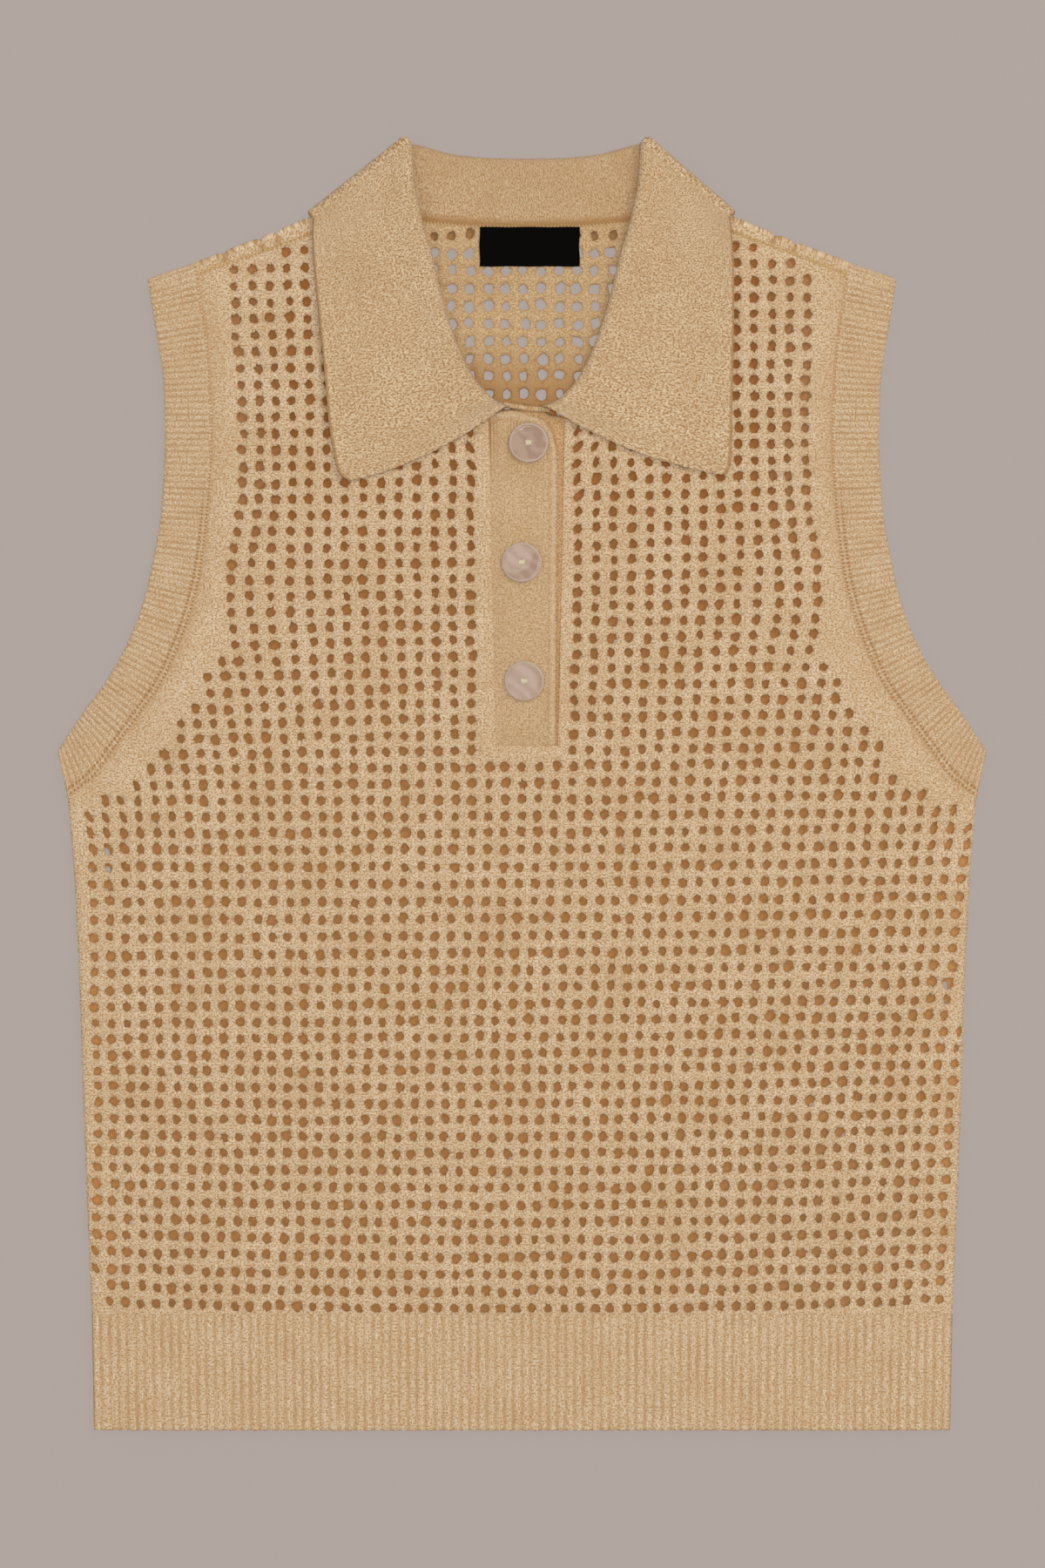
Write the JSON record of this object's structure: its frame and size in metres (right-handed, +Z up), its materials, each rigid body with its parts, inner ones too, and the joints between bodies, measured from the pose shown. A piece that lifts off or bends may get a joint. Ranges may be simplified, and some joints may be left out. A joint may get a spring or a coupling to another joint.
{
  "type": "sleeveless polo sweater",
  "caption": "Sleeveless polo sweater in openwork knit, laid flat, with a folded collar, a buttoned placket, ribbed armholes and a ribbed hem.",
  "frame": {"origin": "on the surface that the garment lies on, under the middle of its bounding box", "axes": "+Z up off that surface, +Y from the hem towards the collar, +X towards the wearer's left"},
  "size_m": [0.4482, 0.6236, 0.0134],
  "materials": {
    "openwork_knit": "straw-coloured openwork knit in a flecked matt yarn, with an even net of round holes",
    "rib_knit": "the same yarn in a narrow rib",
    "collar_knit": "the same yarn in a close plain knit",
    "label_weave": "black woven tape, blank",
    "shell": "pale pinkish mother-of-pearl, softly polished"
  },
  "bodies": {
    "root": {"back_panel": "openwork_knit", "front_panel": "openwork_knit", "back_hem": "rib_knit", "front_hem": "rib_knit", "armhole_band_left": "rib_knit", "armhole_band_right": "rib_knit", "collar": "collar_knit", "placket_upper": "collar_knit", "placket_under": "collar_knit", "neck_label": "label_weave", "button_1": "shell", "button_2": "shell", "button_3": "shell"}
  },
  "joints": []
}
